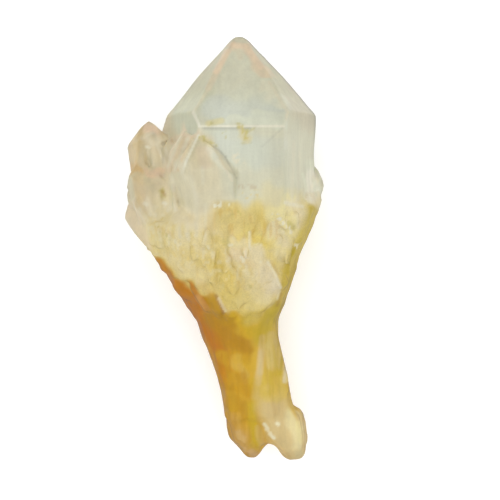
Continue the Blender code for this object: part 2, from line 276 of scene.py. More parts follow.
while len(grown) < ALL_CRYSTALS:
    side = -1 if rng.random() < BACK_SHARE else 1
    x = rng.uniform(-HALF_WIDTH, HALF_WIDTH)
    lip, top = line_at(LIP_LINE, x), line_at(TOP_LINE, x)
    y = rng.uniform(lip + ABOVE_LIP, top)
    rib = rng.random() < (y - lip) / RIB_ZONE
    length, width, above = [rng.uniform(*span) for span in (RIB_SIZES if rib else STUB_SIZES)]
    turn = rng.uniform(0, 60)
    sway = rng.uniform(-SWAY, SWAY)
    place, out = look_down(x, y, side)
    if place is None or place.z < ABOVE_TABLE * MM:
        continue
    along = (UP - out * out.y).normalized() + Vector((sway, 0, 0))
    lean = (along + RIB_LIFT * out if rib else STUB_LEAN * along + out).normalized()
    tip = place + out * above * MM
    foot = tip - lean * length * MM
    if inside_outline(tip, side) and inside_outline(foot, side):
        template = "slender" if rib else "stubby"
        grown.append(lay(template, f"druse_{len(grown)}", foot, tip, width, turn))
print("with the scattered ones:", len(grown))

# %% [markdown]
# All of it is joined and remeshed as one skin. Real crystals that grew together share one body of
# quartz with no walls inside, and light passes straight through where they meet. A Voxel Remesh
# does exactly that, drops every buried face, and gives an even mesh that can then be worn and
# roughened. A third of a millimetre keeps the crisp edges and the whole stays a sensible size.

# %% One skin
VOXEL = 0.338 * MM
bpy.ops.object.select_all(action="DESELECT")
for obj in grown:
    obj.select_set(True)
crystal.select_set(True)
bpy.context.view_layer.objects.active = crystal
bpy.ops.object.join()
for template in templates.values():
    bpy.data.objects.remove(template)
apply_modifier(crystal, "REMESH", mode="VOXEL", voxel_size=VOXEL, adaptivity=0.0)
print("one skin:", len(crystal.data.polygons), "faces")

# %% [markdown]
# ## Wear and growth marks
#
# Masks say how strongly each mark works at each point. They are plain arithmetic on the place of
# the point in millimetres, with soft edges. A noise that shifts the place first makes a border as
# ragged as a real one. The noise is a lattice of random values with smooth steps between them.

# %% Reading the skin, and soft masks on it
# Cells along each side of the noise, and what brings its values to about -1 to 1.
LATTICE = 24
CLOUD_GAIN = 1.4


def places(obj):
    """The points of the mesh in mm, one row each."""
    flat = np.empty(len(obj.data.vertices) * 3, np.float32)
    obj.data.vertices.foreach_get("co", flat)
    return flat.reshape(-1, 3).astype(float) / MM


def put_back(obj, at):
    """Moves the points of the mesh to these places in mm, and keeps them on the table or above."""
    at[:, 2] = np.maximum(at[:, 2], 0.0)
    obj.data.vertices.foreach_set("co", (at * MM).astype(np.float32).ravel())
    obj.data.update()


def outward(obj):
    """The direction out of the skin at each point."""
    flat = np.empty(len(obj.data.vertices) * 3, np.float32)
    obj.data.vertex_normals.foreach_get("vector", flat)
    return flat.reshape(-1, 3).astype(float)


def soft_step(low, high, value):
    """0 below low, 1 above high, and a smooth change between them."""
    share = np.clip((value - low) / (high - low), 0, 1)
    return share * share * (3 - 2 * share)


def cloud(at, size, seed):
    """Smooth noise from about -1 to 1, with lumps of this size in mm."""
    lattice = np.random.default_rng(seed).uniform(-1, 1, (LATTICE, LATTICE, LATTICE))
    cell = np.floor(at / size).astype(int)
    share = soft_step(0, 1, at / size - cell)
    total = np.zeros(len(at))
    for corner in range(8):
        step = np.array((corner & 1, corner >> 1 & 1, corner >> 2 & 1))
        near = np.prod(np.where(step, share, 1 - share), axis=1)
        total += near * lattice[tuple(((cell + step) % LATTICE).T)]
    return CLOUD_GAIN * total


def above_the_lip(at):
    """How far each point lies above the lip of the crust, in mm."""
    return at[:, 1] - line_at(LIP_LINE, at[:, 0])


def crust_mask(at):
    """1 on the crust, and 0 on the points above it and the stem below it."""
    above_top = at[:, 1] - line_at(TOP_LINE, at[:, 0])
    return soft_step(-0.5, 0.5, above_the_lip(at)) * (1 - soft_step(-0.5, 2.5, above_top))


def smooth_where(obj, name, weights, passes):
    """Smooths the skin as often as this, as strongly as the weight of each point says."""
    group = obj.vertex_groups.new(name=name)
    for index in np.flatnonzero(weights > 0.01):
        group.add([int(index)], float(weights[index]), "REPLACE")
    apply_modifier(obj, "SMOOTH", factor=0.5, iterations=passes, vertex_group=name)


# %% [markdown]
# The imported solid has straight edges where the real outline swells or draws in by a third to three
# quarters of a millimetre, and its feet end square where they are worn to blunt points. Swells are
# small sideways moves of the skin, eased in along the crystal and across it, and the feet are drawn
# in by up to 1.3 mm, least at their tips.

# %% The swell of the outline
# Where the move starts and where it is full (X), its middle and reach along Y, and how far, in mm.
SWELLS = (
    (3.4, -2.0, 37.0, 6.5, -0.36),
    (3.4, 9.0, 36.0, 8.0, 0.38),
    (12.0, 18.0, 20.0, 7.0, -0.40),
    (15.0, 20.0, 15.0, 3.0, -0.40),
    (-5.0, -13.0, 0.0, 5.0, 0.75),
    (11.0, 16.0, -40.0, 6.0, 0.35),
)
points = places(crystal)
# A change of these two views moves the points themselves.
x, y = points[:, 0], points[:, 1]
for first, full, middle, reach, move in SWELLS:
    near = soft_step(1, 0, np.abs(y - middle) / reach)
    x += move * near * soft_step(first, full, x)
print("swells and hollows of the outline:", len(SWELLS))

# %% The points of the feet
# How far the left foot is drawn in: X, then the amount, in mm. The right one loses its left corner
# and gains a little at its tip.
LEFT_FOOT_RISE = ((1.5, 1.3), (4.75, 0), (6.5, 0), (8.125, 1.3))
NARROWER_FOOT = 0.5
RIGHT_CORNER = 1.2
RIGHT_TIP_X = 15.0
RIGHT_TIP = 0.4
x += NARROWER_FOOT * soft_step(-38, -44, y) * soft_step(6, 2, x)
near_tip = soft_step(2.2, 0, np.abs(x - RIGHT_TIP_X))
right_rise = RIGHT_CORNER * soft_step(13.4, 10.6, x) - RIGHT_TIP * near_tip
left_foot = soft_step(9.6, 8.6, x)
rise = line_at(LEFT_FOOT_RISE, x) * left_foot + right_rise * (1 - left_foot)
y += rise * soft_step(-38.5, -44.5, y)
put_back(crystal, points)
print("lowest point of the feet:", round(float(y.min()), 1), "mm")

# %% [markdown]
# Handling and water have worn every edge a little. Most of the wear is on the crust and the stem,
# while the edges of the clear points are still crisp. A Smooth modifier held back by a vertex group
# wears each part as much as it should.

# %% Wear
WEAR_PASSES = 11
HEAD_WEAR = 0.12
STEM_WEAR = 0.8
points = places(crystal)
crust = crust_mask(points)
below_lip = above_the_lip(points) < 0
wear = np.maximum(crust, HEAD_WEAR + (STEM_WEAR - HEAD_WEAR) * below_lip)
smooth_where(crystal, "worn", wear, WEAR_PASSES)
print("crust covers", round(100 * float((crust > 0.5).mean())), "% of the points")

# %% [markdown]
# The front crystal is the smoothest of all. Its end face runs into its front face with hardly an
# edge, and so do its sides lower down. More passes of the same tool, held to that crystal, wear
# those edges away. The left group and the pale lump in the crust get a third of it, and the stem,
# which iron-rich water has rounded, gets half.

# %% More wear on the front crystal
SMOOTH_PASSES = 26
LEFT_GROUP_WEAR = 0.3
LUMP_WEAR = 0.35
LUMP_MIDDLE = (7.0, -6.5)
LUMP_FROM_Z = 15
ROUNDED_STEM_WEAR = 0.5
points = places(crystal)
x, y, z = points.T
across = soft_step(-9.6, -8.2, x) * soft_step(1.2, 0.0, x)
up = soft_step(2.0, 5.0, y) * soft_step(18.6, 17.0, y)
front_crystal = across * up * soft_step(24, 26, z)
left_group = soft_step(-9.0, -10.4, x) * soft_step(6, 9, y)
from_lump = np.hypot(x - LUMP_MIDDLE[0], y - LUMP_MIDDLE[1])
lump = soft_step(7.5, 5.5, from_lump) * (z > LUMP_FROM_Z)
rounded_stem = soft_step(-1, 2, -above_the_lip(points))
wear = np.maximum(front_crystal, LEFT_GROUP_WEAR * left_group)
wear = np.maximum(wear, LUMP_WEAR * lump)
wear = np.maximum(wear, ROUNDED_STEM_WEAR * rounded_stem)
smooth_where(crystal, "smoothest", wear, SMOOTH_PASSES)
print("points worn further:", int((wear > 0.01).sum()))

# %% [markdown]
# The marks of growth are low: fine steps across the prism faces, long ripples down the stem, and
# ribs and grain on the crust. They are moves of the points along the surface's own direction,
# worked out in one go for the whole skin. Noise that reads the places squeezed along Y comes out as
# marks that are long in Y.

# %% Growth marks
STEP_HEIGHT = 0.02
STEP_EVERY = 1.3
STEP_WAVER = 1.2
RIPPLE_HEIGHT = 0.14
GRAIN_HEIGHT = 0.05
RIB_HEIGHT = 0.08
ALONG = np.array((1, 0.15, 1))
RIB_ALONG = np.array((1, 0.3, 1))
CREASE_ANGLE = math.radians(40)
points = places(crystal)
out = outward(crystal)
crust = crust_mask(points)
stem = 1 - soft_step(-1.5, 1.5, above_the_lip(points))
head = (1 - crust) * (1 - stem)
prism_faces = 1 - soft_step(0.15, 0.4, np.abs(out[:, 1]))
waver = STEP_WAVER * cloud(points, 5.0, seed=1)
steps = np.sin((points[:, 1] + waver) * 2 * math.pi / STEP_EVERY)
step_patches = soft_step(-0.2, 0.6, cloud(points, 6.0, seed=6))
ripples = cloud(points * ALONG, 1.6, seed=2) + 0.5 * cloud(points * ALONG, 0.8, seed=3)
grain = cloud(points, 1.1, seed=4) + 0.6 * cloud(points, 0.55, seed=5)
ribs = cloud(points * RIB_ALONG, 1.1, seed=14)
move = STEP_HEIGHT * steps * head * prism_faces * step_patches
move += RIPPLE_HEIGHT * ripples * stem + (GRAIN_HEIGHT * grain + RIB_HEIGHT * ribs) * crust
put_back(crystal, points + out * move[:, None])
crystal.vertex_groups.clear()
pick(crystal)
bpy.ops.object.shade_smooth_by_angle(angle=CREASE_ANGLE)
print("growth marks move the skin by up to", round(float(np.abs(move).max()), 2), "mm")

# %% [markdown]
# How far a point stands above its surroundings is worth knowing too: edges wear pale, and on the
# crust they are also painted lighter as a highlight, while iron settles in the hollows. It is
# measured by letting a copy of the points relax towards their neighbours, and seeing which way
# each one moved.

# %% Height above the surroundings


def relief(obj, passes):
    """How far each point stands out from the skin around it in mm, and below zero in a hollow."""
    ends = np.empty(len(obj.data.edges) * 2, np.int32)
    obj.data.edges.foreach_get("vertices", ends)
    one, two = ends.reshape(-1, 2).T
    start = places(obj)
    count = len(start)
    neighbours = np.bincount(one, minlength=count) + np.bincount(two, minlength=count)
    relaxed = start.copy()
    for _ in range(passes):
        for axis in range(3):
            along = relaxed[:, axis]
            around = np.bincount(one, along[two], count) + np.bincount(two, along[one], count)
            relaxed[:, axis] = 0.5 * along + 0.5 * around / np.maximum(neighbours, 1)
    return np.einsum("ij,ij->i", start - relaxed, outward(obj))


fine_relief = relief(crystal, passes=4)
broad_relief = relief(crystal, passes=24)
print("relief in mm:", round(float(broad_relief.min()), 2), round(float(broad_relief.max()), 2))

# %% [markdown]
# ## Colour
#
# The quartz itself is almost colourless. What colours it is iron: straw yellow where it is thin,
# ochre and rust where it is thick, and a peach blush in the worn edges. Some strokes also paint
# light and shade: painted highlights as glints and bright lines, and painted shade along edges and
# the outline. The colour of each point is painted with soft strokes, as with a brush. A stroke has
# a pigment, runs between two places, has a width and a strength, and takes on the front, all round,
# or only on the stem, the crust, or specks, spots for painted glints, and needles.

# %% The pigments
# Red, green and blue, in linear light.
PIGMENTS = {
    "clear": (0.755, 0.735, 0.55),
    "cool": (0.73, 0.76, 0.61),
    "dew": (0.67, 0.70, 0.60),
    "mist": (0.80, 0.82, 0.65),
    "mint": (0.84, 0.86, 0.65),
    "slate": (0.64, 0.66, 0.49),
    "sage": (0.66, 0.66, 0.46),
    "putty": (0.73, 0.67, 0.50),
    "drab": (0.64, 0.58, 0.37),
    "frost": (0.87, 0.80, 0.59),
    "milk": (0.88, 0.78, 0.46),
    "cream": (0.90, 0.75, 0.32),
    "butter": (0.98, 0.88, 0.45),
    "blush": (0.90, 0.76, 0.53),
    "beige": (0.75, 0.64, 0.41),
    "sand": (0.81, 0.72, 0.49),
    "bisque": (0.79, 0.63, 0.37),
    "apricot": (0.86, 0.63, 0.42),
    "peach": (0.88, 0.71, 0.50),
    "lilac": (0.77, 0.57, 0.42),
    "tangerine": (0.78, 0.52, 0.20),
    "straw": (0.82, 0.67, 0.19),
    "honey": (0.78, 0.60, 0.14),
    "yellow": (0.80, 0.60, 0.06),
    "gold": (0.75, 0.48, 0.01),
    "olive": (0.58, 0.44, 0.01),
    "moss": (0.55, 0.48, 0.10),
    "amber": (0.64, 0.35, 0.00),
    "ochre": (0.53, 0.27, 0.00),
    "rust": (0.60, 0.20, 0.00),
    "russet": (0.42, 0.22, 0.05),
    "dun": (0.74, 0.58, 0.30),
    "fawn": (0.66, 0.40, 0.10),
    "shell": (1.00, 0.80, 0.58),
    "pearl": (0.90, 0.81, 0.59),
    # The last three pigments are painted light: the two dark ones paint shade along edges and the
    # outline, and the near-white one paints highlights.
    "smoke": (0.20, 0.20, 0.19),
    "painted_rim_shade": (0.06, 0.06, 0.06),
    "spark": (0.98, 0.94, 0.76),
}
print("pigments:", len(PIGMENTS))

# %% Where a stroke can take
# The ragged places are shifted sideways by noise. The lip is softer to the right of the middle.
RAGGED_BY = np.array((0.5, 1.0))
points = places(crystal)
facing = outward(crystal)[:, 2]
shift = np.stack([cloud(points * ALONG, 1.8, seed=7), cloud(points, 2.2, seed=8)], axis=1)
ragged = points[:, :2] + RAGGED_BY * shift
above_lip = above_the_lip(ragged)
below_top = line_at(TOP_LINE, ragged[:, 0]) - ragged[:, 1]
soft_lip = soft_step(-0.5, 1.5, ragged[:, 0])
stem = soft_step(1.3 + 1.3 * soft_lip, -0.7 - 0.9 * soft_lip, above_lip)
crust = soft_step(-0.8, 0.8, above_lip) * soft_step(-1.5, 3.5, below_top)
front = soft_step(-0.25, 0.25, facing)
specks = soft_step(0.1, 0.45, cloud(points, 0.5, seed=9))
# Spots for painted highlights: where the glints painted on the crust and the points may take.
glints = soft_step(0.3, 0.55, cloud(points * (1.2, 0.8, 1), 0.7, seed=15))
needles = soft_step(0.15, 0.6, cloud(points * (1, 0.16, 1), 0.6, seed=10))
WHERE = {
    "all": np.ones(len(points)),
    "front": front,
    "stem": stem,
    "crust": crust * front,
    "specks": specks * front,
    "glints": glints * front,
    "needles": needles * front,
}
for name, mask in WHERE.items():
    print(f"{name} covers {100 * float(mask.mean()):.0f} % of the points")

# %% The brush
# A line thinner than this isn't ragged.
THIN = 1.1
# The colour of each point: the iron stain, with painted highlights and painted shade laid into it.
stain_and_painted_light = np.tile(PIGMENTS["clear"], (len(points), 1))


def glaze(pigment, weight):
    """Takes the colour towards a pigment, with a weight for each point."""
    share = np.clip(weight, 0, 1)[:, None]
    stain_and_painted_light[:] = stain_and_painted_light * (1 - share) + np.array(PIGMENTS[pigment]) * share


def stroke(pigment, start, end, width, strength, where="front"):
    """Paints along a line between two places, this wide in mm."""
    start, end = np.array(start, float), np.array(end, float)
    run = end - start
    at = (points[:, :2] if width < THIN else ragged) - start
    share = np.clip(at @ run / float(run @ run), 0, 1)
    away = np.linalg.norm(at - share[:, None] * run, axis=1)
    glaze(pigment, strength * (1 - soft_step(0.3 * width, width, away)) * WHERE[where])


def paint(strokes):
    """Paints a list of strokes, the first one undermost."""
    for mark in strokes:
        stroke(*mark)
    print("strokes:", len(strokes))


# %% Broad washes: the points, the collar, the crust and the stem
# Pigment, start and end (X, Y), width, strength, and where if that isn't the front.
WASHES = (
    ("cool", (-1, 30), (8, 30), 6.5, 0.8),
    ("cool", (-1, 22), (6, 19), 4.5, 0.8),
    ("sage", (-10, 31), (-4, 37), 3.6, 0.5, "all"),
    ("sage", (-10, 28.6), (-4.6, 32.6), 3.4, 0.75),
    ("dew", (-2.4, 28.6), (10.4, 28.6), 3.6, 0.8),
    ("dew", (0, 21), (10, 19), 4.4, 0.5),
    ("putty", (13.6, 33), (17.6, 26.5), 3.6, 0.8, "all"),
    ("sage", (9, 38), (13, 32.5), 2, 0.5, "all"),
    ("sage", (-10.4, 27.6), (-6, 31), 3, 0.9),
    ("slate", (-9.2, 26.4), (-6.8, 26), 2.2, 0.9),
    ("frost", (3.3, 40), (3.4, 36), 3, 0.4),
    ("mist", (1.4, 26.4), (11.6, 26.4), 1.9, 0.8),
    ("mint", (18.6, 17), (19.6, 8), 2.4, 0.8, "all"),
    ("beige", (-16, 26), (-15.5, 4), 7.4, 1, "all"),
    ("sand", (-10, 22), (-7, 4), 6.4, 0.9),
    ("beige", (-6.4, 19.6), (-4.4, 14), 2.6, 0.6),
    ("beige", (-4.6, 21), (-3.4, 15), 3.6, 0.9),
    ("sand", (-3.4, 13), (-3, 7), 5.4, 0.9),
    ("cream", (10, 11), (18, 9.5), 3.6, 0.35, "all"),
)
paint(WASHES)
hollows = soft_step(-0.01, -0.12, broad_relief)
edges = soft_step(0.01, 0.08, fine_relief)
blots = soft_step(0.2, 0.6, cloud(points, 0.9, seed=16))
glaze("cream", 0.95 * crust)
glaze("straw", 0.5 * crust * hollows)
# Pale crust edges: wear, and a painted highlight as well.
glaze("frost", 0.6 * crust * edges)
glaze("frost", 0.4 * crust * needles)
glaze("honey", 0.22 * crust * blots)
glaze("gold", 0.95 * stem)

# %% [markdown]
# Then the marks that have a place of their own, from the stem up to the tip. A later stroke lies on
# an earlier one, so each list goes from wide stains to small specks.

# %% Strokes on the stem and its feet
STEM_STROKES = (
    ("amber", (0, -16), (3.6, -42), 5.6, 0.7, "stem"),
    ("honey", (11.5, -10), (10.4, -34), 4.8, 0.85, "stem"),
    ("olive", (9.4, -26), (8.4, -33), 2.2, 0.3, "stem"),
    ("rust", (-13.2, -3), (-9.7, -7.1), 2, 0.95, "stem"),
    ("rust", (-9.7, -7.1), (-5.4, -12.4), 4.6, 1, "stem"),
    ("rust", (-6.1, -11.7), (-2.4, -17.4), 4.6, 1, "stem"),
    ("rust", (-2.4, -17.4), (-0.2, -24), 3.4, 0.9, "stem"),
    ("rust", (-13.4, -3.2), (-9, -8.6), 0.9, 0.8, "all"),
    ("tangerine", (-5.2, -10), (-3.4, -12.8), 1, 0.35, "stem"),
    ("ochre", (-3.2, -9.4), (-0.8, -13.2), 1.6, 0.7, "stem"),
    ("amber", (-0.6, -23), (1.4, -33), 2.4, 0.8, "stem"),
    ("rust", (-1, -24), (0.6, -32), 1.3, 0.6, "stem"),
    ("fawn", (-1.2, -30.6), (0.2, -37), 1.3, 0.8, "all"),
    ("ochre", (-2.2, -14.2), (3.8, -20.4), 3.6, 0.85, "stem"),
    ("ochre", (2, -19.6), (4.9, -21.8), 2, 0.95),
    ("gold", (2.4, -14.2), (5.4, -17.6), 2, 0.8, "stem"),
    ("olive", (4.6, -14.6), (6.6, -18.4), 1.6, 0.4, "stem"),
    ("olive", (8.6, -12), (8.2, -19), 2.6, 0.7, "stem"),
    ("gold", (0.4, -23.2), (4.4, -23.8), 2.2, 0.5),
    ("straw", (2.4, -23.4), (4.2, -26.4), 1.3, 0.3),
    ("fawn", (3.2, -24.4), (4.4, -28), 0.8, 0.3),
    ("amber", (0.8, -28.6), (4.6, -30.4), 2.4, 0.6),
    ("ochre", (3.4, -26.8), (5, -31), 1.5, 0.5),
    ("gold", (1.6, -31), (4, -32.6), 1.4, 0.4),
    ("ochre", (1, -32.2), (5.4, -34.6), 1.8, 0.7),
    ("straw", (0.8, -34.6), (2.6, -36.2), 0.5, 0.3),
    ("gold", (1.4, -36.4), (3, -39), 2.2, 0.5),
    ("amber", (0.9, -35), (2, -38.6), 1.3, 0.6),
    ("olive", (5.6, -34), (6.8, -41), 2.2, 0.7),
    ("amber", (7.2, -33.6), (8.2, -41.4), 1, 0.5),
    ("bisque", (8, -18.6), (7.5, -25.8), 1.05, 0.4),
    ("bisque", (7.8, -21.4), (7.1, -28), 1.05, 0.4),
    ("putty", (7.7, -21.6), (7.4, -26), 0.8, 0.4),
    ("bisque", (7.2, -26), (6.4, -31), 1.05, 0.35),
    ("olive", (6, -27.6), (6.6, -33.4), 1.6, 0.35),
    ("bisque", (9.6, -18.6), (9.6, -25), 1.5, 0.4),
    ("straw", (9.2, -19.6), (9.8, -25), 2, 0.5),
    ("milk", (8.4, -20), (9.8, -24.6), 1.8, 0.25),
    ("olive", (10.7, -20.6), (10.9, -26.4), 0.9, 0.35),
    ("straw", (11.6, -16), (12.4, -22.4), 1.4, 0.5),
    ("bisque", (11, -19.6), (12, -25), 1, 0.35),
    ("gold", (10.4, -25.6), (10.8, -30), 1.8, 0.3),
    ("milk", (13.5, -23.4), (13, -27.8), 1, 0.85, "all"),
    ("pearl", (13.2, -24.4), (12.6, -28), 0.5, 0.7),
    ("olive", (12.2, -23), (11.8, -26.6), 0.5, 0.6),
    ("fawn", (1, -37.4), (5, -44.4), 3.6, 0.75, "all"),
    ("bisque", (2.6, -39.4), (3.6, -41.6), 1.6, 0.35),
    ("lilac", (5.4, -42.6), (6.4, -44.6), 1.3, 0.35, "all"),
    ("amber", (0.2, -36), (1, -40), 1.4, 0.6, "all"),
    ("dun", (10.2, -33.4), (14.8, -45), 4.8, 0.95, "all"),
    ("dun", (17.2, -33), (17.8, -44), 2.6, 0.95, "all"),
    ("fawn", (9, -40.4), (13.4, -45), 1.3, 0.35, "all"),
    ("milk", (14.4, -35.6), (16.2, -41), 1.9, 0.9, "all"),
    ("milk", (15.2, -42), (16.4, -43.8), 1.5, 0.5, "all"),
    ("dun", (7.4, -38.6), (8.2, -41), 1.2, 0.4),
    ("butter", (15.6, -37), (16.2, -40.6), 1, 0.6),
    ("fawn", (16.8, -39), (17, -42.6), 0.8, 0.35),
    ("honey", (9.2, -31), (13, -31), 1.8, 0.6, "all"),
    ("ochre", (-0.6, -14), (3.6, -42), 5, 0.45, "needles"),
    ("olive", (9.6, -13), (9.6, -30), 3.2, 0.3, "needles"),
    ("rust", (-8, -9.6), (-1.4, -22), 3, 0.5, "needles"),
    ("gold", (0.6, -30.6), (1.6, -33.2), 1.6, 0.4),
    # Painted highlights: these strokes of the near-white glint pigment are glints on the right foot.
    ("spark", (8.4, -37), (9.2, -38), 0.55, 0.95),
    ("spark", (8.8, -38.2), (9.8, -38.9), 0.45, 0.8),
    ("spark", (9.6, -39.2), (10.4, -39.9), 0.6, 0.95),
    ("spark", (11.1, -36.8), (11.4, -37), 0.6, 0.9),
)
paint(STEM_STROKES)

# %% Strokes on the collar and its crust
COLLAR_STROKES = (
    ("milk", (-11.6, 8.6), (-4, 1), 5, 0.7),
    ("frost", (-9.4, 7.6), (-6, 6.4), 3.4, 0.8),
    ("milk", (-17, 6), (-13, 0), 3, 0.4),
    ("milk", (-14, 4.4), (-7, 0.4), 5, 0.8),
    ("straw", (-15.4, 3), (-12.4, 0.6), 1.8, 0.3),
    ("dun", (-5, 6), (0, 4.6), 3.4, 0.25),
    ("dun", (-0.4, 6.6), (8.6, 5), 3.6, 0.6),
    ("honey", (0.4, 6.6), (9, 6.4), 4, 0.6),
    ("honey", (7, 8.4), (9.6, 4.6), 2.4, 0.6),
    ("honey", (-0.6, 1.4), (2, -6), 3.2, 0.5),
    ("straw", (5.4, 3.6), (9.6, 0), 2.4, 0.7),
    ("yellow", (6.4, 2.4), (8.6, 0.6), 1.4, 0.4),
    ("honey", (-2, -7.4), (1.2, -9.8), 2.4, 0.4, "crust"),
    ("cream", (-4, -8), (-1.6, -8.8), 1.5, 0.8, "crust"),
    ("honey", (-12.8, -2.6), (-4, -9), 1.4, 0.6, "crust"),
    ("milk", (-10, -2), (-4.6, -5.4), 3, 0.7, "crust"),
    ("butter", (-7, -5), (-5, -6), 1.6, 0.5, "crust"),
    ("milk", (3.6, -1.6), (9, -9), 4.4, 0.85),
    ("pearl", (8, -4.6), (9.8, -8.4), 2.6, 0.8),
    ("pearl", (6.8, -0.4), (8.2, -2.6), 1.8, 0.7),
    ("blush", (2.6, -1.8), (5.4, -2.8), 1.8, 0.7),
    ("butter", (2.4, -12), (9.4, -10.8), 2.8, 0.55, "crust"),
    ("straw", (0.6, -11), (6, -14), 1.4, 0.6, "crust"),
    ("olive", (4, -13.8), (9.6, -13.6), 1.6, 0.35, "all"),
    ("butter", (13.2, 8.6), (16.2, 5.6), 2.8, 0.95),
    ("butter", (10.4, 7.6), (14.2, 2.4), 2.6, 0.85),
    ("butter", (10.8, 3.4), (12.6, -1), 2.2, 0.8),
    ("milk", (11.4, -1), (12.8, -3), 1.6, 0.8),
    ("straw", (10.8, -2.6), (12.4, -4.4), 1.6, 0.5),
    ("pearl", (14.4, 8.6), (16.2, 5.8), 1.8, 0.75),
    ("pearl", (10.4, 4.2), (12.2, 1.4), 1.8, 0.65),
    ("dun", (-13.4, 4.2), (-10.6, 3), 0.9, 0.5),
    ("pearl", (-18.2, 8), (-16.8, 6), 0.9, 0.6),
    ("olive", (18.6, 7), (15.4, -0.2), 2.8, 0.9, "all"),
    ("olive", (15.4, -0.2), (13.8, -7), 2.9, 0.95, "all"),
    ("olive", (13.4, -7), (11.6, -13.6), 2.6, 0.75, "all"),
    ("honey", (13, -6), (11.8, -10.6), 1.2, 0.5),
    ("moss", (13.4, 5.2), (14.2, 4.4), 0.9, 0.6),
    ("moss", (1.6, 7.6), (4, 7.2), 0.8, 0.5, "specks"),
    ("moss", (0.2, 4.8), (1.4, 0.6), 1.2, 0.5, "needles"),
    ("moss", (-1.6, -3), (-0.8, -4.6), 0.8, 0.6, "specks"),
    ("moss", (-7.2, 4.4), (-6.8, 3.2), 0.6, 0.5, "needles"),
    ("moss", (-14.2, 5), (-11, 2.2), 0.6, 0.6, "specks"),
    ("moss", (5, -6.8), (5.6, -7.8), 0.6, 0.5, "specks"),
    ("amber", (0, 6), (10, 3.4), 3.6, 0.35, "needles"),
    ("honey", (-14, 3), (4, -6), 6, 0.4, "needles"),
    ("straw", (-1.4, -3.6), (1.2, -9), 3, 0.5, "crust"),
    ("straw", (1.6, -9.6), (9, -12.6), 2.2, 0.45, "crust"),
    ("honey", (-8, -0.6), (-2, -3), 2.2, 0.4, "crust"),
    ("pearl", (9.4, -5), (10.6, -8.2), 1.6, 0.9),
    # Painted highlights: the strokes of the near-white glint pigment from here on are glints on the
    # chips, the needle and the crust.
    ("spark", (10.2, -6.4), (10.8, -8.4), 0.9, 0.45),
    ("spark", (9.1, -2.7), (10.7, -5.4), 0.4, 0.7),
    ("spark", (10.7, -5.4), (11.7, -8), 0.45, 0.9),
    ("spark", (11.7, -8), (11.1, -10.4), 0.4, 0.6),
    ("russet", (9.7, -2.6), (11.3, -5.2), 0.4, 0.25),
    ("russet", (11.9, -9.4), (11.1, -11.8), 0.45, 0.45),
    ("spark", (5.3, 0), (5.3, 3.4), 0.4, 0.7),
    ("russet", (-1.6, -9.6), (0, -13.2), 0.55, 0.8),
    ("pearl", (-1, -10.2), (0.3, -12.8), 0.45, 0.8),
    ("blush", (-20.4, 8.4), (-16, 1.6), 1.8, 0.8, "all"),
    ("pearl", (-19.2, 10), (-16.2, 5.4), 0.4, 0.8),
    ("frost", (-18.3, 9.8), (-15.6, 5.8), 0.4, 0.6),
    ("spark", (-16.4, 9.4), (-15.8, 9.2), 0.6, 0.8),
    ("frost", (-15.4, 9.4), (-14.4, 7.4), 1.2, 0.5),
    ("spark", (-12.4, 9.5), (-12, 9.3), 0.55, 0.8),
    ("spark", (-2, 8.8), (1.2, 9.4), 1, 0.8, "glints"),
    ("spark", (11.2, 6.6), (14.4, 2.2), 1.9, 0.9, "glints"),
    ("spark", (12.6, 9.4), (16.2, 8.8), 0.6, 0.7),
    ("spark", (6.6, 0.4), (8.6, -2.2), 1.3, 0.8, "glints"),
    ("spark", (2, -0.4), (4, -2.4), 1.4, 0.8, "glints"),
    ("spark", (-12, 5), (2, -4), 6, 0.35, "glints"),
    ("frost", (-9.4, 10.5), (-8.8, 2.5), 0.55, 0.6),
    ("frost", (-7.6, 11), (-7.2, 2), 0.5, 0.5),
    ("frost", (-5.6, 11), (-5.4, 3), 0.6, 0.5),
    ("frost", (-3.6, 9), (-3.6, 2), 0.5, 0.5),
)
paint(COLLAR_STROKES)
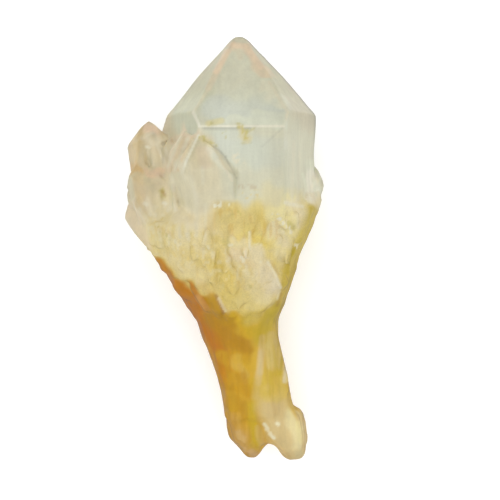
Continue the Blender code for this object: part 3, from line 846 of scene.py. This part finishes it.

# %% Strokes on the points
# Painted light in this list: strokes of the near-white glint pigment are painted highlights, and
# those of the dark grey pigment are painted shade, as thin lines along the edges of the points and a
# few small patches.
POINT_STROKES = (
    ("peach", (-17, 26.2), (-14.2, 25.4), 1.8, 0.6, "all"),
    ("apricot", (-16.6, 25.4), (-14.2, 24.9), 1, 0.8, "all"),
    ("dun", (-18.2, 24.4), (-19.4, 18), 2.2, 0.95, "all"),
    ("dun", (-18.4, 13.8), (-18.2, 10.4), 1.4, 0.6, "all"),
    ("tangerine", (-19.2, 17.4), (-17.6, 15.8), 1.7, 0.8, "all"),
    ("apricot", (-15.8, 16.8), (-12.8, 15.8), 1.3, 0.8),
    ("lilac", (-15, 16), (-12.8, 15.2), 0.7, 0.5),
    ("shell", (-16.2, 25.4), (-14.4, 25.8), 1.3, 0.7, "all"),
    ("sand", (-16.8, 24), (-15.9, 21.4), 1.3, 0.6),
    ("frost", (-16, 23.6), (-15, 21.8), 0.8, 0.6),
    ("putty", (-14.8, 24), (-13.2, 22), 1.2, 0.6),
    ("drab", (-16.2, 19.8), (-14, 18.2), 2, 0.5),
    ("spark", (-16.3, 21.4), (-15.6, 21.1), 0.45, 0.8),
    ("frost", (-14.2, 21.8), (-11.8, 17.2), 0.5, 0.8),
    ("drab", (-13.5, 21.6), (-11.3, 17.4), 0.4, 0.5),
    ("frost", (-12.8, 22.6), (-10.9, 18.2), 0.5, 0.7),
    ("frost", (-15.9, 20.2), (-14.6, 17.4), 0.45, 0.5),
    ("mint", (-19.5, 14.4), (-19, 10.6), 0.9, 0.4, "all"),
    ("bisque", (-17.4, 14), (-16.8, 11), 1.8, 0.6),
    ("drab", (-15.4, 14.8), (-14.2, 12.4), 1.2, 0.4),
    ("moss", (-12.9, 12.3), (-12.3, 10.8), 0.9, 0.6, "specks"),
    ("moss", (-12.7, 12.1), (-12.4, 11), 0.6, 0.5),
    ("russet", (-12.6, 11.8), (-12.2, 11.2), 0.5, 0.5),
    ("frost", (-10.8, 15.2), (-10.2, 12.2), 0.7, 0.8),
    ("peach", (-10.4, 23.4), (-5.6, 23.9), 1.7, 0.8),
    ("peach", (-7.6, 23), (-10.4, 16.8), 2.4, 0.85),
    ("frost", (-8.8, 22.8), (-11.6, 17), 0.45, 0.7),
    ("bisque", (-8, 22.8), (-10.9, 16.2), 0.4, 0.7),
    ("pearl", (-7.2, 22.6), (-10, 16.2), 0.45, 0.8),
    ("bisque", (-6.4, 22.6), (-9.2, 16), 0.4, 0.8),
    ("spark", (-5.1, 23), (-8.4, 15.4), 0.4, 0.8),
    ("drab", (-4.7, 22.6), (-7.8, 15.4), 0.35, 0.5),
    ("frost", (-9.2, 17.4), (-8, 15), 1.4, 0.8),
    ("frost", (-8, 14), (-6, 10), 2.6, 0.5),
    ("frost", (-4.2, 16.4), (-4, 13.2), 0.5, 0.6),
    ("spark", (-2.6, 20), (0.8, 16.2), 1.4, 0.7),
    ("mist", (-1.8, 18.8), (-0.6, 17), 0.9, 0.5),
    ("moss", (-4.6, 22.8), (-1.8, 20.8), 0.9, 0.7, "specks"),
    ("straw", (-4.4, 22.5), (-2.4, 21.1), 0.9, 0.35),
    ("smoke", (-1.8, 20.9), (0.4, 18.6), 0.3, 0.3),
    ("smoke", (0.4, 18.6), (2.6, 14.4), 0.3, 0.35),
    ("frost", (-2.4, 20.4), (-0.2, 18.6), 0.4, 0.6),
    ("lilac", (-4, 19.4), (-3.4, 16.6), 1.6, 0.3),
    ("frost", (-0.8, 18), (1.2, 15.6), 1.3, 0.4),
    ("frost", (0.4, 10.8), (1.8, 9.4), 1.4, 0.5),
    ("pearl", (-0.6, 18.2), (1.8, 13.8), 0.4, 0.7),
    ("peach", (1.4, 43.4), (5.2, 43.2), 1.9, 0.6, "all"),
    ("apricot", (1, 41.8), (1.8, 43.4), 0.9, 0.4),
    ("apricot", (4.8, 42.6), (5.8, 41), 1, 0.3),
    ("frost", (3.2, 42.9), (3.3, 41.4), 0.9, 0.9),
    ("mist", (3, 37.6), (4.6, 33), 6.6, 0.75),
    ("dew", (-1, 30), (5, 29.4), 2.8, 0.5),
    ("peach", (0.4, 41.4), (-3.2, 33.2), 1.05, 0.5),
    ("shell", (0.6, 41.6), (-1.6, 37), 1.05, 0.8),
    ("peach", (5.2, 41.8), (9, 36), 1.7, 0.7),
    ("shell", (5.2, 41.6), (7.6, 38), 1.05, 0.8),
    ("shell", (2.4, 42.9), (4.2, 42.7), 1, 0.8),
    ("frost", (3.2, 41.4), (3.4, 40.2), 1, 0.6),
    ("mist", (8.6, 33.4), (11.6, 29.6), 1.8, 0.95),
    ("frost", (8.8, 33), (11.8, 29.8), 1.7, 0.4),
    ("dew", (-2.4, 26), (1.4, 26), 1.2, 0.5),
    ("slate", (-9.4, 28.6), (-7.6, 27.8), 1.4, 0.4),
    ("slate", (-9, 26.8), (-6.6, 25.4), 2.4, 0.95),
    ("frost", (-6.2, 27.9), (-2.6, 34), 0.5, 0.6),
    ("frost", (13.1, 27.9), (9.4, 34.6), 0.5, 0.6),
    ("spark", (-6.2, 27.9), (-4.8, 24.9), 0.45, 0.7),
    ("frost", (13.1, 27.9), (12.2, 24.9), 0.45, 0.8),
    ("mist", (1, 26.2), (11.2, 26.2), 1.6, 0.8),
    ("spark", (-4.9, 24.9), (12.2, 24.9), 0.4, 0.9),
    ("smoke", (-4, 24.4), (5.6, 24.4), 0.35, 0.4),
    ("straw", (-3, 25.5), (-0.4, 26.1), 1, 0.5),
    ("moss", (-2.8, 25.5), (-0.6, 26.1), 0.7, 0.6, "specks"),
    ("moss", (-0.4, 24.2), (0.6, 22.4), 0.9, 0.5, "specks"),
    ("moss", (3.8, 24.4), (5.2, 22), 1.4, 0.8, "specks"),
    ("moss", (4.8, 24.2), (4.3, 22.2), 0.4, 0.7),
    ("moss", (4.6, 23.6), (6.2, 24.4), 0.35, 0.5),
    ("honey", (4, 24.2), (5.4, 22.2), 1.2, 0.4),
    ("smoke", (12.1, 24.6), (7.8, 20.7), 0.3, 0.15),
    ("frost", (2.6, 18.9), (4, 15.8), 1.4, 0.7, "specks"),
    ("drab", (2.8, 19.4), (3.4, 16), 1.2, 0.3, "needles"),
    ("russet", (3.4, 12.6), (7.8, 12.6), 0.7, 0.3, "specks"),
    ("honey", (4.4, 11.2), (6.8, 10.6), 1.3, 0.6, "specks"),
    ("frost", (14.4, 22), (14, 9), 0.5, 0.4),
    ("sage", (12.7, 20), (12.5, 10), 0.45, 0.4),
    ("frost", (15.6, 20), (15.2, 10), 0.5, 0.3),
    ("spark", (18.2, 15.4), (17.3, 11), 1.5, 0.85, "glints"),
    ("spark", (18.1, 14.8), (17.4, 12.2), 0.6, 0.7),
    ("spark", (18, 14.6), (18.6, 10.4), 2.2, 0.85, "all"),
    ("mint", (16.4, 15.6), (17.2, 12.6), 0.5, 0.6),
    ("mint", (18.8, 14.4), (19.4, 11.4), 0.5, 0.6),
)
paint(POINT_STROKES)

# %% [markdown]
# Light leaves a clear crystal sideways along its outline, which looks thin and dark there, most of
# all on the right of the tip. That dark line is painted shade on the skin. A point belongs to the
# outline when a short step outward from it leaves the crystal, seen from above. Three steps of
# different length give the painted line a soft edge.

# %% The painted dark outline
# The steps in mm, and what is left out: skin this nearly level, and skin this near to the table.
PROBES = (0.12, 0.25, 0.4)
LEVEL = 0.97
NEAR_TABLE = 1.0
bpy.context.view_layer.update()
out = outward(crystal)
edge_on = np.zeros(len(points))
for index in np.flatnonzero((np.abs(facing) < LEVEL) & (points[:, 2] > NEAR_TABLE)):
    aside = out[index, :2] / float(np.linalg.norm(out[index, :2]))
    for reach in reversed(PROBES):
        place, _out = look_down(*(points[index, :2] + reach * aside), 1)
        if place is not None:
            break
        edge_on[index] += 1 / len(PROBES)
upper_right = soft_step(0, 5, points[:, 0]) * soft_step(22, 28, points[:, 1])
lower = soft_step(8, 2, points[:, 1])
# Painted shade along the outline: grey above, near black at the right of the tip, russet low down.
glaze("smoke", 0.14 * (1 - lower) * edge_on)
glaze("painted_rim_shade", 0.48 * upper_right * edge_on)
glaze("russet", 0.2 * lower * edge_on)
print("points on the outline:", int((edge_on > 0.5).sum()))

# %% [markdown]
# Steep faces mirror the bright table, which lays a veil over their colour. So shade is painted on
# them: the stain is laid on darker there, and most of all in blue, because the veil is bluer than
# the iron. The stem's left flank takes russet first, and the steep walls of the crust take honey,
# both as painted shade in the colours of the iron. The clear right foot carries little iron and
# keeps most of its brightness. Light that has gone through the stained stone is a little warm, so
# the whole stain is made a touch cooler, and on the stem a touch greener.

# %% Painted shade on the steep faces
# How much of the red, green and blue the painted shade takes away where the skin stands upright.
STEEP_PAINTED_SHADE = np.array((0.35, 0.45, 0.65))
CRUST_SHARE = 0.2
CLEAR_FOOT_KEEPS = 0.7
x, y = points[:, 0], points[:, 1]
steep = (1 - np.abs(facing)) ** 2
clear_foot = soft_step(9.0, 11.0, x) * soft_step(-36, -39, y)
left_flank = soft_step(9, 5, x) * stem * (1 - clear_foot)
# Painted shade in the colours of the iron on the crust's steep walls and the stem's left flank.
glaze("honey", 0.6 * crust * steep)
glaze("russet", 0.3 * left_flank * steep)
darker = steep * (stem * (1 - CLEAR_FOOT_KEEPS * clear_foot) + CRUST_SHARE * crust)
stain_and_painted_light *= 1 - darker[:, None] * STEEP_PAINTED_SHADE
print("points with darker stain:", int((darker > 0.25).sum()))

# %% The finished paint
# What red, green and blue are multiplied by, and how much more on the stem.
BALANCE = np.array((0.975, 0.99, 1.045))
STEM_BALANCE = np.array((0.02, 0.05, 0.0))
STREAKS = 0.04
PATCHES = 0.03
stain_and_painted_light *= BALANCE * (1 + STEM_BALANCE * stem[:, None])
breakup = 1 + STREAKS * cloud(points * ALONG, 0.9, seed=11) + PATCHES * cloud(points, 2.4, seed=12)
stain_and_painted_light *= breakup[:, None]
stored = crystal.data.attributes.new("stain_and_painted_light", "FLOAT_COLOR", "POINT")
rgba = np.insert(np.clip(stain_and_painted_light, 0, 1), 3, 1, axis=1)
stored.data.foreach_set("color", rgba.astype(np.float32).ravel())
for name, mask in (("crust", crust), ("stem", stem)):
    kept = crystal.data.attributes.new(name, "FLOAT", "POINT")
    kept.data.foreach_set("value", mask.astype(np.float32))
print("mean stain:", [round(float(v), 2) for v in stain_and_painted_light.mean(axis=0)])

# %% [markdown]
# ## The quartz
#
# One material covers the whole crystal, because it is one body of clear quartz. Light goes through
# it and bends with quartz's own refraction, 1.544. Veils and fine fractures inside a real crystal
# scatter part of the light, and modelling each of them would take a great many thin cracks. So six
# tenths of the light is let through and the rest scatters at the skin, and a worn skin is frosted
# rather than polished. The painted stain, with its painted highlights and shade, colours it, a fine
# noise breaks the stain up, and a faint absorption inside makes thick places a little greener than
# thin ones.

# %% Nodes for the quartz
# A polished face has a gloss of 0.5. This one hardly mirrors the room.
QUARTZ_IOR = 1.544
LET_THROUGH = 0.6
GLOSS = 0.06
quartz = bpy.data.materials.new("stained_quartz")
quartz.use_nodes = True
nodes, links = quartz.node_tree.nodes, quartz.node_tree.links
shader = nodes["Principled BSDF"]
shader.inputs["IOR"].default_value = QUARTZ_IOR
shader.inputs["Transmission Weight"].default_value = LET_THROUGH
shader.inputs["Specular IOR Level"].default_value = GLOSS


def stored_value(name, socket="Fac"):
    """A value that was stored on each point of the mesh."""
    node = nodes.new("ShaderNodeAttribute")
    node.attribute_name = name
    return node.outputs[socket]


def math_node(operation, first, second):
    """One operation on two numbers or sockets."""
    node = nodes.new("ShaderNodeMath")
    node.operation = operation
    for index, value in enumerate((first, second)):
        if isinstance(value, (int, float)):
            node.inputs[index].default_value = value
        else:
            links.new(value, node.inputs[index])
    return node.outputs["Value"]


def noise_on_object(size, stretch=(1, 1, 1)):
    """Noise with lumps of about this size in mm, drawn out along an axis by a small stretch."""
    place = nodes.new("ShaderNodeTexCoord")
    mapping = nodes.new("ShaderNodeMapping")
    mapping.inputs["Scale"].default_value = stretch
    texture = nodes.new("ShaderNodeTexNoise")
    texture.inputs["Scale"].default_value = 1 / (size * MM)
    texture.inputs["Detail"].default_value = 3
    links.new(place.outputs["Object"], mapping.inputs["Vector"])
    links.new(mapping.outputs["Vector"], texture.inputs["Vector"])
    return texture.outputs["Fac"]


def plus(*terms):
    """The sum of several numbers or sockets."""
    total = terms[0]
    for term in terms[1:]:
        total = math_node("ADD", total, term)
    return total


def times(first, second):
    """The product of two numbers or sockets."""
    return math_node("MULTIPLY", first, second)


print("refraction:", QUARTZ_IOR, "share let through:", LET_THROUGH)

# %% Colour
# How much each noise lightens the stain, on top of the base, and the most it may come to.
FINE = 0.16
LONG = 0.2
MOTTLED = 0.45
BASE = 0.82
LIGHTEST = 1.08
streaks = noise_on_object(0.7, stretch=(1, 0.12, 1))
mottling = times(math_node("SUBTRACT", noise_on_object(0.32), 0.5), MOTTLED)
lightness = plus(
    times(noise_on_object(0.5), FINE),
    times(streaks, LONG),
    times(mottling, stored_value("crust")),
    BASE,
)
lightness = math_node("MINIMUM", lightness, LIGHTEST)
colour = nodes.new("ShaderNodeVectorMath")
colour.operation = "SCALE"
links.new(stored_value("stain_and_painted_light", "Color"), colour.inputs[0])
links.new(lightness, colour.inputs["Scale"])
links.new(colour.outputs["Vector"], shader.inputs["Base Color"])
print("lightness of the stain: up to", LIGHTEST)

# %% [markdown]
# The clear points are the smoothest. The crust is more frosted, and the iron film on the stem is
# the most matte of all, so its flanks keep their rust colour where polished ones would mirror the
# table. A weak bump adds what is finer than the mesh: grain on the crust, and long marks everywhere
# but mostly on the stem.

# %% Roughness and bump
POINTS_ROUGH = 0.32
CRUST_ROUGHER = 0.22
STEM_ROUGHER = 0.25
PATCHY = 0.12
BUMP_STRENGTH = 0.6
BUMP_HEIGHT = 0.15 * MM
LONG_MARKS_ELSEWHERE = 0.15
roughness = plus(
    times(stored_value("crust"), CRUST_ROUGHER),
    times(noise_on_object(2.0), PATCHY),
    times(stored_value("stem"), STEM_ROUGHER),
    POINTS_ROUGH,
)
links.new(roughness, shader.inputs["Roughness"])
crust_grain = times(noise_on_object(0.45), stored_value("crust"))
long_marks = times(streaks, plus(stored_value("stem"), LONG_MARKS_ELSEWHERE))
bump = nodes.new("ShaderNodeBump")
bump.inputs["Strength"].default_value = BUMP_STRENGTH
bump.inputs["Distance"].default_value = BUMP_HEIGHT
links.new(plus(crust_grain, long_marks), bump.inputs["Height"])
links.new(bump.outputs["Normal"], shader.inputs["Normal"])
print("roughness of the stem: at least", round(POINTS_ROUGH + STEM_ROUGHER, 2))

# %% Absorption inside
# The colour that is left over, and how strong the absorption is per metre.
LEFT_OVER = (0.84, 0.88, 0.72, 1)
PER_METRE = 6.0
absorption = nodes.new("ShaderNodeVolumeAbsorption")
absorption.inputs["Color"].default_value = LEFT_OVER
absorption.inputs["Density"].default_value = PER_METRE
links.new(absorption.outputs["Volume"], nodes["Material Output"].inputs["Volume"])
crystal.data.materials.append(quartz)
print("quartz nodes:", len(nodes))

# %% [markdown]
# The skin belongs to the fixed body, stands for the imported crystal, and fills the slot for quartz.

# %% Attach to the frame
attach(crystal, "root")
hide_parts(CAD_NODE)

# %% [markdown]
# ## The table, the light and the camera
#
# A clear crystal shows what is behind it, so the table matters as much as the lamp. It is white and
# glows a little itself, as a sheet of lit paper does. That keeps the colour seen through the quartz
# clean and takes the weight out of its shadow. The room lights the crystal from all round, and one
# wide softbox above gives the faces their shades. The camera looks down from 313 mm.

# %% Floor
TABLE_WHITE = (0.78, 0.78, 0.78, 1)
TABLE_GLOW = 0.3
bpy.ops.object.select_all(action="DESELECT")
bpy.ops.mesh.primitive_plane_add(size=3.0, location=(0, 0, 0))
floor = bpy.context.object
floor.name = "table"
table_paint = bpy.data.materials.new("table_paint")
table_paint.use_nodes = True
table_shader = table_paint.node_tree.nodes["Principled BSDF"]
table_shader.inputs["Base Color"].default_value = TABLE_WHITE
table_shader.inputs["Roughness"].default_value = 0.7
table_shader.inputs["Emission Color"].default_value = (1, 1, 1, 1)
table_shader.inputs["Emission Strength"].default_value = TABLE_GLOW
floor.data.materials.append(table_paint)

# %% Light
ROOM_LIGHT = 0.87
LAMP_WATTS = 2.4
LAMP_SIZE = 0.9
world = bpy.data.worlds.new("studio")
world.use_nodes = True
background = world.node_tree.nodes["Background"]
background.inputs["Color"].default_value = (1, 1, 1, 1)
background.inputs["Strength"].default_value = ROOM_LIGHT
bpy.context.scene.world = world
bpy.ops.object.light_add(type="AREA", location=(-0.05, 0.05, 0.7))
key = bpy.context.object
key.name = "softbox"
key.data.shape = "DISK"
key.data.size = LAMP_SIZE
key.data.energy = LAMP_WATTS
key.rotation_euler = (Vector((0, 0, 0)) - key.location).to_track_quat("-Z", "Y").to_euler()

# %% Camera
# With no rotation, a camera looks straight down.
CAMERA_PLACE = (5.4 * MM, -0.2 * MM, 313 * MM)
LENS = 101.28
bpy.ops.object.camera_add(location=CAMERA_PLACE, rotation=(0, 0, 0))
camera = bpy.context.object
camera.data.lens = LENS
bpy.context.scene.camera = camera
bpy.context.scene.view_settings.view_transform = "Standard"
